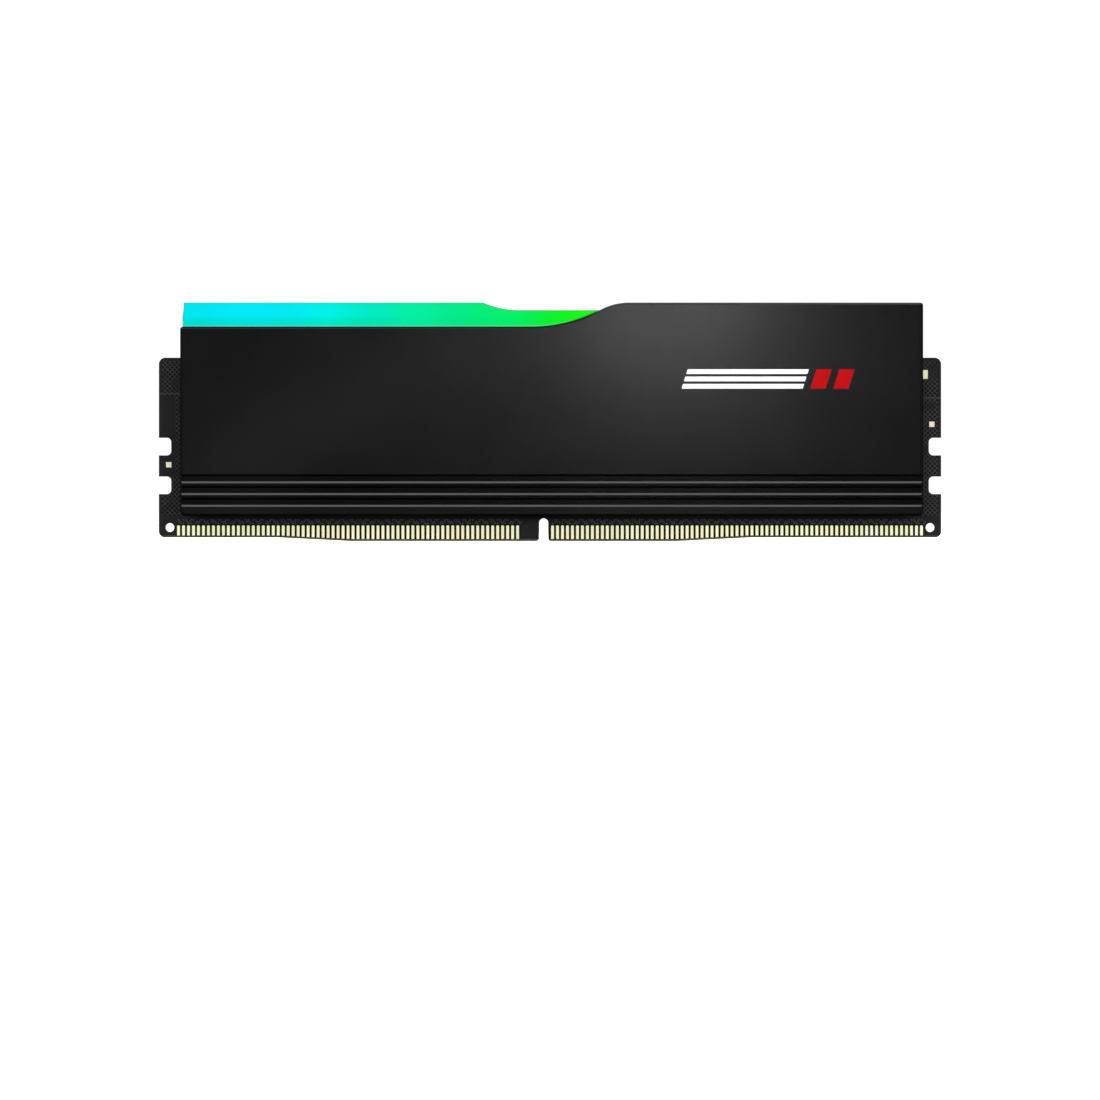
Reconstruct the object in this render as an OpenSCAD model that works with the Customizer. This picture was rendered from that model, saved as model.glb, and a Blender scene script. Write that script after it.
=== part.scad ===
// Memory module with two heat spreaders and a light bar.
// X runs along the module, the front face looks towards -Y, +Z points away from the socket.
// The origin is the middle of the board's lower edge.

/* [Circuit board] */
// Length of the board
board_l = 133.35; // [130:0.05:136]
// Height of the board
board_h = 31.25; // [30.6:0.05:31.4]
// Thickness of the board
board_t = 1.27; // [1.1:0.01:1.4]
// Radius of the board's two top corners
board_top_r = 1.1; // [0.4:0.1:2]
// Radius of the board's two bottom corners
board_foot_r = 1.0; // [0.4:0.1:1.5]
// How far the card edge steps up at both ends
edge_lift = 0.6; // [0.2:0.1:1]
// Length of each ramp between the low middle and the raised ends
ramp_l = 12.3; // [6:0.1:16]
// Where the low middle of the card edge starts
low_x0 = -34.1; // [-40:0.1:-30]
// Where the low middle of the card edge ends
low_x1 = 21.8; // [18:0.1:30]
// Height of the bevel along the card edge
bevel_h = 0.3; // [0.1:0.05:0.5]
// Depth of the bevel into each face
bevel_d = 0.18; // [0.05:0.01:0.3]

/* [Notches and holes] */
// Where the key notch sits along the board
key_x = -1.08; // [-2:0.01:2]
// Width of the key notch
key_w = 1.55; // [1.2:0.05:2]
// Depth of the key notch
key_d = 3.85; // [3:0.05:5]
// Radius at the two corners of the key notch's mouth
key_mouth_r = 0.5; // [0.2:0.1:0.8]
// Height of the lower latch notch's centre
latch_z0 = 9.5; // [9:0.1:10]
// Height of the upper latch notch's centre
latch_z1 = 16.1; // [15:0.1:17]
// Height of each latch notch
latch_h = 3.0; // [2:0.1:3.5]
// Depth of each latch notch into the board
latch_d = 2.1; // [1.5:0.1:2.5]
// Radius of the latch notches' inner corners
latch_r = 0.75; // [0.3:0.05:1]
// Radius of the tooling hole at each bottom corner
tool_r = 0.75; // [0.5:0.05:0.9]
// Distance of each tooling hole from the middle of the board
tool_x = 64.8; // [64.6:0.1:65]
// Height of the tooling holes
tool_z = 2.3; // [2.2:0.1:2.6]

/* [Edge contacts] */
// Distance from one contact to the next
contact_pitch = 0.85; // [0.8:0.01:0.85]
// Width of a contact
contact_w = 0.55; // [0.4:0.01:0.7]
// Height of the contacts' upper ends
contact_top_z = 2.7; // [2:0.01:3]
// Thickness of the gold
contact_t = 0.04; // [0.03:0.01:0.06]
// Chamfer at the contacts' upper corners
contact_chamfer = 0.12; // [0.05:0.01:0.2]
// Number of contacts on the long side of the key notch
long_side_count = 75; // [73:1:75]
// Number of contacts on the short side of the key notch
short_side_count = 69; // [67:1:69]
// Number of contact places that the key notch takes up
key_places = 6; // [6:1:8]

/* [Memory chips] */
// Width of a memory chip
dram_w = 10; // [8:0.1:11]
// Height of a memory chip
dram_h = 11; // [9:0.1:11.5]
// Thickness of a memory chip with its solder balls
dram_t = 1.15; // [0.9:0.01:1.2]
// Distance from one chip to the next
dram_pitch = 14; // [12:0.1:14]
// Distance of the innermost chips from the middle
dram_first_x = 13.5; // [12:0.1:13.5]
// Height of the chips' centres
dram_z = 17; // [16.5:0.1:17.3]

/* [Heat spreaders] */
// Thickness of the whole module over both heat spreaders
body_t = 7.4; // [7:0.1:8.5]
// Length of a heat spreader
spreader_l = 126.5; // [124:0.1:127]
// How far the heat spreaders and the light bar sit to the right of the board's middle
shell_x = 0.28; // [-0.4:0.01:0.4]
// Thickness of a heat spreader
spreader_t = 1.2; // [0.9:0.05:1.3]
// Height of a heat spreader's lower edge
spreader_z0 = 4.25; // [3.5:0.1:4.5]
// Height of the low part of its upper edge
shelf_z = 36.5; // [35:0.1:37.5]
// Height of the high part, which is the top of the module
top_z = 40.6; // [40:0.1:44]
// Where the upper edge starts to rise
rise_x = -3.5; // [-10:0.1:2]
// Radius of the hollow curve at the foot of the rise
rise_foot_r = 25.6; // [15:0.1:30]
// Radius of the crown curve at the top of the rise
rise_crown_r = 10.4; // [6:0.1:14]
// Height of the middle of the upper groove
groove_z = 10.6; // [10.4:0.1:11]
// Distance from one groove to the next
groove_pitch = 2.0; // [1.8:0.1:2.1]
// Width of a groove at its mouth
groove_mouth = 1.55; // [1.2:0.05:1.6]
// Width of a groove's flat floor
groove_floor = 0.85; // [0.4:0.05:1]
// Depth of a groove
groove_depth = 0.2; // [0.1:0.05:0.5]
// Radius of the spreader's lower corners
spreader_foot_r = 0.9; // [0.4:0.1:1.2]
// Radius of the spreader's upper corners
spreader_top_r = 0.45; // [0.2:0.05:0.8]

/* [Light bar] */
// Length of the light bar
bar_l = 125.7; // [120:0.1:125.8]
// Height of the light bar's underside
bar_z0 = 31.45; // [31.42:0.01:31.6]
// How far each end slopes in between the lower and the upper band
bar_end_slope = 0.2; // [0.1:0.05:0.5]
// Where the slope between the lower and the upper band starts
band_z0 = 38.2; // [37.5:0.1:38.5]
// Where that slope ends
band_z1 = 39.5; // [39:0.1:39.9]
// How far the top of the bar drops on its way in between the high parts of the spreaders
drop = 1.3; // [0.5:0.1:2]
// Where the low part of the bar's top starts
drop_x = -5.5; // [-8:0.1:-3]
// Radius of the curve that leads down to the low part
drop_r = 15.4; // [10:0.1:18]
// How far the bar's face lies behind the spreader's face
bar_setback = 0.05; // [0.05:0.05:0.3]
// Gap between the bar and the edge of the spreader below it
bar_gap = 0.05; // [0.05:0.01:0.15]
// Thickness of the adhesive tape
tape_t = 0.05; // [0.05:0.01:0.1]

/* [Small parts] */
// Width and height of the power-management chip
pmic_w = 5; // [4:0.1:5]
// Thickness of the power-management chip
pmic_t = 0.9; // [0.7:0.05:1]
// Length of one LED
led_w = 3.8; // [2:0.1:4.2]
// Height of one LED
led_h = 1.3; // [1:0.1:1.4]
// How far one LED stands off the board
led_t = 1.2; // [0.8:0.1:1.5]
// Distance from one LED to the next
led_pitch = 15; // [12:0.1:15.5]

/* [Hidden] */
CHIPS = 8;
LEDS = 8;
INDUCTORS = 3;
GROOVES = 3;
$fn = 96;

cut = 1;
over = 0.1;
face_y = board_t / 2;
inner_y = body_t / 2 - spreader_t;
half_l = spreader_l / 2;
left_ramp_x = low_x0 - ramp_l;
right_ramp_x = low_x1 + ramp_l;

rise = top_z - shelf_z;
rise_r = rise_foot_r + rise_crown_r;
rise_l = sqrt(2 * rise_r * rise - rise * rise);
rise_turn = asin(rise_l / rise_r);
rise_steps = 24;

pad_half_l = 61;
pad_z0 = 10.5;
pad_z1 = 23.5;
chip_pad_t = inner_y - face_y - dram_t;
power_z = 26.4;
pmic_pad_w = 5.5;
inductor_x = [-4.6, 4.6, 8.1];
inductor_size = [3.2, 2.5, 1.0];
hub_size = [3, 2, 0.75];
hub_z = 14;
controller_size = [4, 4, 0.85];
cap_size = [1.0, 0.5, 0.5];
cap_step = 1.8;
cap_rows = [9.3, 25];
bulk_size = [2.0, 1.25, 0.85];
bulk_grid = [[-5, 19], [0, 19], [5, 19], [-5, 21.6], [0, 21.6], [5, 21.6]];
array_size = [2.0, 1.0, 0.45];
array_step = 5;
array_z = 7;
led_top_z = 31.2;
test_pad_t = 0.03;
left_pad = [-65.0, 13.0];
right_pad = [65.1, 19.9];
tall_pad = [63.95, 28.4];
test_pad_w = 0.9;
tall_pad_h = 1.5;
pin_mark_r = 0.35;
pin_mark_d = 0.05;
pin_mark_in = 1;

core_y = inner_y - tape_t;
bar_face_y = body_t / 2 - bar_setback;
low_top_z = top_z - drop;
leg_x = [-58, 0, 58];
leg_w = 3;
leg_z = 29.4;
leg_y0 = 0.75;
leg_y1 = 2.2;
tape_half_l = 60;
tape_z0 = 32;
tape_z1 = 36;

function edge_z(x) = edge_lift * min(1, max(0, (low_x0 - x) / ramp_l, (x - low_x1) / ramp_l));
function chip_x(i) = (i < CHIPS / 2 ? -1 : 1)
    * (dram_first_x + dram_pitch * (i < CHIPS / 2 ? CHIPS / 2 - 1 - i : i - CHIPS / 2));
function arc(centre, r, from, to) = [
    for (i = [0:rise_steps])
        let (a = from + (to - from) * i / rise_steps)
        centre + r * [cos(a), sin(a)]
];
function led_x(i) = (i - (LEDS - 1) / 2) * led_pitch;

// Stands a flat outline up in the XZ plane, between two depths in Y.
module slab(y0, y1) {
    translate([0, y1, 0]) rotate([90, 0, 0]) linear_extrude(y1 - y0) children();
}

// Runs a YZ profile along X, centred.
module lengthwise(l) {
    translate([-l / 2, 0, 0]) rotate([90, 0, 90]) linear_extrude(l) children();
}

// Turns a part that is modelled on the board's front round to its back.
module turned() {
    rotate([0, 0, 180]) children();
}

// What is cut off a square corner at the origin, whose body lies towards -X and -Y.
module corner_cut(r) {
    difference() {
        translate([-r, -r]) square(r + cut);
        translate([-r, -r]) circle(r);
    }
}

// A block that sits on the board's front face, centred on x and z.
module on_board(x, z, size) {
    translate([x - size[0] / 2, -face_y - size[2], z - size[1] / 2]) cube([size[0], size[2], size[1]]);
}

module latch_notch() {
    mid_h = latch_h - 2 * latch_r;
    translate([-latch_d, -mid_h / 2]) square([latch_d + cut, mid_h]);
    translate([latch_r - latch_d, -latch_h / 2]) square([latch_d - latch_r + cut, latch_h]);
    for (s = [-1, 1])
        translate([latch_r - latch_d, s * mid_h / 2]) circle(latch_r);
}

module key_notch() {
    straight = key_d - key_w / 2;
    translate([-key_w / 2, -cut]) square([key_w, straight + cut]);
    translate([0, straight]) circle(key_w / 2);
    translate([key_w / 2, 0]) rotate(180) corner_cut(key_mouth_r);
    translate([-key_w / 2, 0]) mirror([0, 1]) corner_cut(key_mouth_r);
}

module board_half_cuts() {
    translate([board_l / 2, board_h]) corner_cut(board_top_r);
    translate([board_l / 2, edge_lift]) mirror([0, 1]) corner_cut(board_foot_r);
    translate([tool_x, tool_z]) circle(tool_r);
    for (z = [latch_z0, latch_z1])
        translate([board_l / 2, z]) latch_notch();
}

module board_outline() {
    difference() {
        polygon([
            [-board_l / 2, edge_lift],
            [left_ramp_x, edge_lift],
            [low_x0, 0],
            [low_x1, 0],
            [right_ramp_x, edge_lift],
            [board_l / 2, edge_lift],
            [board_l / 2, board_h],
            [-board_l / 2, board_h]
        ]);
        board_half_cuts();
        mirror([1, 0]) board_half_cuts();
        translate([key_x, 0]) key_notch();
    }
}

// The wedges that bevel both faces along one straight stretch of the card edge.
module edge_bevel(from, to) {
    run = to - from;
    translate([from[0], 0, from[1]]) rotate([0, -atan2(run[1], run[0]), 0])
        translate([norm(run) / 2, 0, 0])
            for (s = [0, 1])
                mirror([0, s, 0]) lengthwise(norm(run) + 2 * over)
                    polygon([
                        [face_y - 2 * bevel_d, -bevel_h],
                        [face_y + bevel_d, 2 * bevel_h],
                        [face_y + bevel_d, -bevel_h]
                    ]);
}

module pcb() {
    edge = [
        [-board_l / 2, edge_lift],
        [left_ramp_x, edge_lift],
        [low_x0, 0],
        [low_x1, 0],
        [right_ramp_x, edge_lift],
        [board_l / 2, edge_lift]
    ];
    color("#141615") difference() {
        slab(-face_y, face_y) board_outline();
        for (i = [0:len(edge) - 2])
            edge_bevel(edge[i], edge[i + 1]);
    }
}

module contact(x) {
    half = contact_w / 2;
    foot = edge_z(x) + bevel_h + contact_t / 2;
    translate([x, 0]) polygon([
        [-half, foot],
        [half, foot],
        [half, contact_top_z - contact_chamfer],
        [half - contact_chamfer, contact_top_z],
        [contact_chamfer - half, contact_top_z],
        [-half, contact_top_z - contact_chamfer]
    ]);
}

// Each side's contacts are counted inwards from the outer end of the row.
module contact_row() {
    places = short_side_count + key_places + long_side_count;
    last_x = (places - 1) / 2 * contact_pitch;
    color("#d8c37a") slab(-face_y - contact_t, -face_y) {
        for (i = [0:short_side_count - 1])
            contact(i * contact_pitch - last_x);
        for (i = [0:long_side_count - 1])
            contact(last_x - i * contact_pitch);
    }
}

module test_pads() {
    color("#d8c37a") slab(-face_y - test_pad_t, -face_y) {
        translate(left_pad) square(test_pad_w, center = true);
        translate(right_pad) square(test_pad_w, center = true);
        translate(tall_pad) square([test_pad_w, tall_pad_h], center = true);
    }
}

module dram(x) {
    mark_x = x - dram_w / 2 + pin_mark_in;
    mark_z = dram_z + dram_h / 2 - pin_mark_in;
    color("#26272a") difference() {
        on_board(x, dram_z, [dram_w, dram_h, dram_t]);
        translate([mark_x, pin_mark_d - face_y - dram_t, mark_z])
            rotate([90, 0, 0]) cylinder(r = pin_mark_r, h = cut);
    }
}

module pmic() {
    color("#2b2b2e") on_board(0, power_z, [pmic_w, pmic_w, pmic_t]);
}

module inductor(i) {
    color("#4a4a4c") on_board(inductor_x[i], power_z, inductor_size);
}

module spd_hub() {
    color("#2b2b2e") on_board(0, hub_z, hub_size);
}

module rgb_controller() {
    color("#2b2b2e") turned() on_board(0, power_z, controller_size);
}

module led(i) {
    color("#f2f0e6") on_board(led_x(i), led_top_z - led_h / 2, [led_w, led_h, led_t]);
}

module decoupling_caps() {
    color("#b58a5a")
        for (i = [0:CHIPS - 1], j = [-1.5:1:1.5], z = cap_rows)
            on_board(chip_x(i) + j * cap_step, z, cap_size);
}

module bulk_caps() {
    color("#b58a5a")
        for (p = bulk_grid)
            on_board(p[0], p[1], bulk_size);
}

module resistor_arrays() {
    color("#1c1c1c")
        for (i = [0:CHIPS - 1], s = [-0.5, 0.5])
            on_board(chip_x(i) + s * array_step, array_z, array_size);
}

module thermal_pad() {
    color("#8f97a3") slab(-inner_y, chip_pad_t - inner_y)
        translate([-pad_half_l, pad_z0]) square([2 * pad_half_l, pad_z1 - pad_z0]);
}

module pmic_thermal_pad() {
    color("#8f97a3") slab(-inner_y, -face_y - pmic_t)
        translate([0, power_z]) square(pmic_pad_w, center = true);
}

// The outer face of a spreader with square corners. Its S-shaped rise is a hollow foot and a crown.
module spreader_blank() {
    foot = arc([rise_x, shelf_z + rise_foot_r], rise_foot_r, -90, rise_turn - 90);
    crown = arc([rise_x + rise_l, top_z - rise_crown_r], rise_crown_r, rise_turn + 90, 90);
    polygon(concat(
        [[half_l, top_z], [half_l, spreader_z0], [-half_l, spreader_z0], [-half_l, shelf_z]],
        foot,
        [for (i = [1:rise_steps]) crown[i]]
    ));
}

module spreader_outline() {
    difference() {
        spreader_blank();
        translate([half_l, top_z]) corner_cut(spreader_top_r);
        translate([-half_l, shelf_z]) mirror([1, 0]) corner_cut(spreader_top_r);
        for (s = [0, 1])
            mirror([s, 0]) translate([half_l, spreader_z0]) mirror([0, 1]) corner_cut(spreader_foot_r);
    }
}

module groove_profile() {
    outer = -body_t / 2;
    polygon([
        [outer - cut, -groove_mouth / 2],
        [outer, -groove_mouth / 2],
        [outer + groove_depth, -groove_floor / 2],
        [outer + groove_depth, groove_floor / 2],
        [outer, groove_mouth / 2],
        [outer - cut, groove_mouth / 2]
    ]);
}

module heat_spreader() {
    color("#222224") translate([shell_x, 0, 0]) difference() {
        slab(-body_t / 2, -inner_y) spreader_outline();
        for (i = [0:GROOVES - 1])
            translate([0, 0, groove_z - i * groove_pitch])
                lengthwise(spreader_l + 2 * cut) groove_profile();
    }
}

module bar_tape() {
    color("#e9e6da") slab(-inner_y, -core_y)
        translate([shell_x - tape_half_l, tape_z0]) square([2 * tape_half_l, tape_z1 - tape_z0]);
}

// The bar's front view. To the right of the drop its top lies between the high parts of the spreaders.
module bar_outline() {
    low = bar_l / 2;
    high = low - bar_end_slope;
    difference() {
        polygon([
            [-low, bar_z0],
            [low, bar_z0],
            [low, low_top_z],
            [drop_x, low_top_z],
            [drop_x, top_z],
            [-high, top_z],
            [-high, band_z1],
            [-low, band_z0]
        ]);
        translate([drop_x, low_top_z + drop_r]) circle(drop_r);
    }
}

// The part of the bar that comes forward over the front spreader's low edge.
module bar_lip() {
    intersection() {
        slab(-body_t, 0) difference() {
            bar_outline();
            translate([0, bar_gap]) spreader_blank();
        }
        lengthwise(bar_l + cut) polygon([
            [-bar_face_y, bar_z0],
            [-bar_face_y, band_z0],
            [bar_end_slope - bar_face_y, band_z1],
            [bar_end_slope - bar_face_y, top_z + cut],
            [over - core_y, top_z + cut],
            [over - core_y, bar_z0]
        ]);
    }
}

module light_bar() {
    color("#12e0c0") translate([shell_x, 0, 0]) {
        slab(-core_y, core_y) bar_outline();
        for (s = [0, 1])
            mirror([0, s, 0]) {
                bar_lip();
                for (x = leg_x)
                    translate([x - leg_w / 2, leg_y0, leg_z])
                        cube([leg_w, leg_y1 - leg_y0, bar_z0 - leg_z + over]);
            }
    }
}

pcb();
contact_row();  // contacts_front
mirror([0, 1, 0]) contact_row();  // contacts_back
test_pads();
for (i = [1:CHIPS]) {
    dram(chip_x(i - 1));
    turned() dram(chip_x(i - 1));
}
pmic();
spd_hub();
rgb_controller();
for (i = [1:INDUCTORS])
    inductor(i - 1);
for (i = [1:LEDS])
    led(i - 1);
decoupling_caps();  // decoupling_caps_front
turned() decoupling_caps();  // decoupling_caps_back
bulk_caps();
resistor_arrays();
thermal_pad();  // thermal_pad_front
turned() thermal_pad();  // thermal_pad_back
pmic_thermal_pad();
bar_tape();  // bar_tape_front
mirror([0, 1, 0]) bar_tape();  // bar_tape_back
light_bar();
heat_spreader();  // heat_spreader_front
mirror([0, 1, 0]) heat_spreader();  // heat_spreader_back
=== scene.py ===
"""The looks of a memory module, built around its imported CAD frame.

Lengths are in millimetres, and colours are 0 to 255 as seen on a screen. X runs along the module, its
front face looks towards -Y, and Z is up. Whatever sits on the back is built as if it were on the front,
then turned or mirrored to the back, as the CAD does it.
"""

import math

import bmesh
import bpy
from mathutils import Matrix, Quaternion, Vector


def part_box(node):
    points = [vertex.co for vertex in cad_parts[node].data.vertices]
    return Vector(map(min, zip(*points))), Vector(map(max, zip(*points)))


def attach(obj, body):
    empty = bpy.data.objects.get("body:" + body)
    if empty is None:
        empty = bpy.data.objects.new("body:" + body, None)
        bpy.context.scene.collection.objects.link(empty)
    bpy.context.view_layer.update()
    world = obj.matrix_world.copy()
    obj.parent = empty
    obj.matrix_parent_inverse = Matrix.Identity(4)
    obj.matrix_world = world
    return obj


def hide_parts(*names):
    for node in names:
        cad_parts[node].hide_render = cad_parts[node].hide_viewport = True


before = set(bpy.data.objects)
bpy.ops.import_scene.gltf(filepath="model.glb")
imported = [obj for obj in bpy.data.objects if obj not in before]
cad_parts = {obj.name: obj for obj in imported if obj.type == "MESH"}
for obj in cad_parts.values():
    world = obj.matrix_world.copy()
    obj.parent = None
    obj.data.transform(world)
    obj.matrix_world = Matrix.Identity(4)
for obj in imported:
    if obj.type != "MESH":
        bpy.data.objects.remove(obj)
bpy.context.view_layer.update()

MM = 0.001
SHARP_ANGLE = math.radians(28)
BEVEL_ANGLE = math.radians(24)
SEAM = 0.0005
SMALLEST_CORNER = 0.015
TURNED = Matrix.Rotation(math.pi, 4, "Z")
MIRRORED = Matrix.Scale(-1, 4, (0, 1, 0))

# Circuit board
BOARD_FACE_Y = -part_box("pcb")[1].y / MM
BOARD_HALF_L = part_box("pcb")[1].x / MM
BOARD_TOP_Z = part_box("pcb")[1].z / MM
CONTACT_TOP_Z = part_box("contacts_front")[1].z / MM
HATCH_PITCH = 0.8
HATCH_LINE = (0.06, 0.15)
HATCH_MARGIN = 0.55
HATCH_FOOT_Z = (4.0, 4.6)
PLAIN_AREA_X = -63.9
PLAIN_AREA_Z = (10.8, 24.8)
PLAIN_AREA_FADE = 0.05
TRACE_Z = {"left": 25.1, "right": 24.4}
TRACE_W = 0.14
MASK_GAP_Z = 0.22
VIA_R = 0.135
VIA_T = 0.012
VIA_SINK = 0.01
VIA_PITCH = 0.425
VIA_ROWS = ((3.0, 0.0), (3.3, 0.5), (3.6, 0.0))

# Edge contacts and test pads
CONTACT_ROUND = 0.2
CONTACT_FOOT_R = 0.04
CONTACT_EDGE = 0.038
CONTACT_SHOULDER = 0.45
PAD_SPLIT = 0.1

# Memory chips, from the board outwards
BALL_H = 0.25
BALL_R = 0.19
BALL_PITCH = 0.8
BALL_COLUMNS = (-4, -3, -2, 2, 3, 4)
BALL_ROWS = 13
SUBSTRATE_H = 0.2
PIN_MARK_R = 0.35
PIN_MARK_DEPTH = 0.05
PIN_MARK_IN = 1.0

# Other parts on the board
LEAD_L = 0.35
LEAD_H = 0.25
LEAD_SHARE = 0.28
ARRAY_END = 0.24
ARRAY_STEP = 0.06
LED_WALL = 0.16
LED_WELL_DEPTH = 0.14
LED_WELL_SLOPE = 0.08
LED_FOOT = 0.3
LED_PITCH = 15.0
SOFT_PAD_STEP = 1.5
SOFT_PAD_UNEVEN = 0.035

# Heat spreaders
EDGE_CHAMFER = 0.35
BACK_CHAMFER = 0.15
FOOT_R = 0.9
TOP_R = 0.45
RISE_X = -3.5
RISE_FOOT_R = 25.6
RISE_CROWN_R = 10.4
GROOVE_Z = (6.6, 8.6, 10.6)
GROOVE_MOUTH = 1.55
GROOVE_FLOOR = 0.85
GROOVE_DEPTH = 0.2

# Printed pattern on the front panel: left, bottom, width, height and ink of each bar
PRINT_T = 0.01
PRINT_SINK = 0.005
PRINT_SLANT = 0.32
WHITE, RED = 0, 1
PRINT_BARS = (
    (22.4, 25.95, 20.6, 0.8, WHITE),
    (22.4, 27.2, 20.6, 0.8, WHITE),
    (22.4, 28.45, 20.6, 0.8, WHITE),
    (44.3, 25.95, 2.6, 3.3, RED),
    (48.2, 25.95, 2.6, 3.3, RED),
)

# Light bar
BAR_BEVEL = 0.14
BAR_CORE_Y = 2.45
BAR_FOOT_Z = 31.45
BAR_GAP = 0.05
BAR_SLOPE = 0.2
BAR_SLOPE_Z = (38.2, 39.5)
BAR_DROP = 1.3
BAR_DROP_X = -5.5
BAR_DROP_R = 15.4
LEG_X = (-58.0, 0.0, 58.0)
LEG_W = 3.0
LEG_Y = (0.75, 2.2)

# Places along the bar, as a share of its length, and the light's colour there
BAR_COLOURS = (
    (0.0, (0, 227, 237)),
    (0.1, (0, 228, 241)),
    (0.16, (0, 232, 236)),
    (0.2, (0, 234, 222)),
    (0.255, (0, 231, 192)),
    (0.31, (2, 232, 160)),
    (0.36, (2, 231, 142)),
    (0.415, (1, 233, 116)),
    (0.465, (3, 235, 90)),
    (0.48, (5, 237, 72)),
    (0.5, (8, 239, 50)),
    (0.52, (12, 242, 26)),
    (0.56, (26, 238, 12)),
    (0.72, (120, 232, 6)),
    (0.85, (196, 228, 2)),
    (1.0, (240, 214, 4)),
)
# Painted shade: below BAR_BAND_Z the bar's colour is tinted darker and greener, less so at the right.
BAR_BAND_Z = (37.0, 38.6)
BAR_SHADE_TINT = (1.0, 0.92, 0.72, 1.0)
BAR_SHADE_TINT_RIGHT = (1.0, 0.96, 0.95, 1.0)
BAR_BAND_FADE_X = (-34.0, -22.0)
# Painted edge light on the bar's bevels: a painted highlight low down, painted shade higher up.
BAR_EDGE_LOW_HIGHLIGHT = (150, 178, 178)
BAR_EDGE_HIGH_SHADE = (60, 80, 78)
BAR_EDGE_Z = (36.6, 38.2)


# -------- meshes


def box_of(node, back=False):
    """A CAD node's lowest and highest corner, turned to the front if it sits on the back."""
    low, high = (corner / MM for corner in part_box(node))
    return turned_box(low, high) if back else (low, high)


def turned_box(low, high):
    return Vector((-high.x, -high.y, low.z)), Vector((-low.x, -low.y, high.z))


def cad_mesh(node):
    """A CAD node's mesh, with the vertices that its flat faces repeat merged."""
    bm = bmesh.new()
    bm.from_mesh(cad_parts[node].data)
    bmesh.ops.scale(bm, vec=Vector((1, 1, 1)) / MM, verts=bm.verts)
    bmesh.ops.remove_doubles(bm, verts=bm.verts, dist=0.001)
    bm.verts.index_update()
    return bm


def solids_of(node, back=False):
    """The lowest and highest corner of each separate solid in a CAD node, from left to right."""
    bm = cad_mesh(node)
    seen, boxes = set(), []
    for first in bm.verts:
        if first in seen:
            continue
        seen.add(first)
        reached = [first]
        for vert in reached:
            for edge in vert.link_edges:
                other = edge.other_vert(vert)
                if other not in seen:
                    seen.add(other)
                    reached.append(other)
        corners = list(zip(*(vert.co for vert in reached)))
        low, high = Vector(map(min, corners)), Vector(map(max, corners))
        boxes.append(turned_box(low, high) if back else (low, high))
    bm.free()
    return sorted(boxes, key=lambda box: (round(box[0].x, 3), round(box[0].z, 3)))


def loft(bm, rings, materials):
    """A closed solid through rings of equally many points, with one material index for each band."""
    loops = [[bm.verts.new(point) for point in ring] for ring in rings]
    count = len(loops[0])
    for near, far, material in zip(loops, loops[1:], materials):
        for i in range(count):
            j = (i + 1) % count
            bm.faces.new((near[i], near[j], far[j], far[i])).material_index = material
    bm.faces.new(loops[0][::-1]).material_index = materials[0]
    bm.faces.new(loops[-1]).material_index = materials[-1]
    return loops


def arc(centre, radius, start, end, steps):
    """Points on an arc, from one angle to another, in degrees."""
    angles = [math.radians(start + (end - start) * i / steps) for i in range(steps + 1)]
    return [(centre[0] + radius * math.cos(a), centre[1] + radius * math.sin(a)) for a in angles]


def rounded_rect(width, height, radius, foot_radius=None, steps=3):
    """A rectangle about the origin, with one radius at its upper corners and perhaps another at the lower."""
    foot = radius if foot_radius is None else foot_radius
    corners = ((1, 1, radius, 0), (-1, 1, radius, 90), (-1, -1, foot, 180), (1, -1, foot, 270))
    points = []
    for sx, sz, r, start in corners:
        points += arc((sx * (width / 2 - r), sz * (height / 2 - r)), r, start, start + 90, steps)
    return points


def inset_outline(points, distance):
    """An anticlockwise outline, moved in by distance, with its corners kept sharp."""
    moved = []
    for before, at, after in zip(points[-1:] + points[:-1], points, points[1:] + points[:1]):
        come = (Vector(at) - Vector(before)).normalized()
        leave = (Vector(after) - Vector(at)).normalized()
        inwards = Vector((-come.y - leave.y, come.x + leave.x)).normalized()
        reach = distance / inwards.dot(Vector((-come.y, come.x)))
        moved.append((at[0] + inwards.x * reach, at[1] + inwards.y * reach))
    return moved


def outwards(box, levels, corner, materials, bm, steps=3):
    """A body that fills box's outline and grows away from the board, through levels of (height, inset)."""
    low, high = box
    middle, size = (low + high) / 2, high - low
    rings = []
    for height, inset in levels:
        radius = max(corner - inset, SMALLEST_CORNER)
        outline = rounded_rect(size.x - 2 * inset, size.z - 2 * inset, radius, steps=steps)
        rings.append([(middle.x + u, high.y - height, middle.z + v) for u, v in outline])
    return loft(bm, rings, materials)


def lengthwise(box, levels, corner, materials, bm):
    """A body that fills box and runs along X, through levels of (distance from its left end, inset)."""
    low, high = box
    middle, size = (low + high) / 2, high - low
    rings = []
    for along, inset in levels:
        outline = rounded_rect(size.y - 2 * inset, size.z - 2 * inset, corner, steps=1)
        rings.append([(low.x + along, middle.y + u, middle.z + v) for u, v in outline])
    loft(bm, rings, materials)


def dimple(bm, loop, centre, radius, depth, material):
    """Fills a flat loop of vertices, with a round dimple in it that goes towards +Y."""
    rim = [bm.verts.new((x, loop[0].co.y, z)) for x, z in arc(centre, radius, 0, 345, 23)]
    rings = [loop, rim]
    edges = []
    for ring in rings:
        for a, b in zip(ring, ring[1:] + ring[:1]):
            edges.append(bm.edges.get((a, b)) or bm.edges.new((a, b)))
    filled = bmesh.ops.triangle_fill(bm, use_beauty=True, use_dissolve=False, edges=edges)
    for face in filled["geom"]:
        if isinstance(face, bmesh.types.BMFace):
            face.material_index = material
    floor = [bm.verts.new(v.co + Vector((0, depth, 0))) for v in rim]
    for i, vert in enumerate(rim):
        j = (i + 1) % len(rim)
        bm.faces.new((vert, rim[j], floor[j], floor[i])).material_index = material
    bm.faces.new(floor).material_index = material


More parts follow.
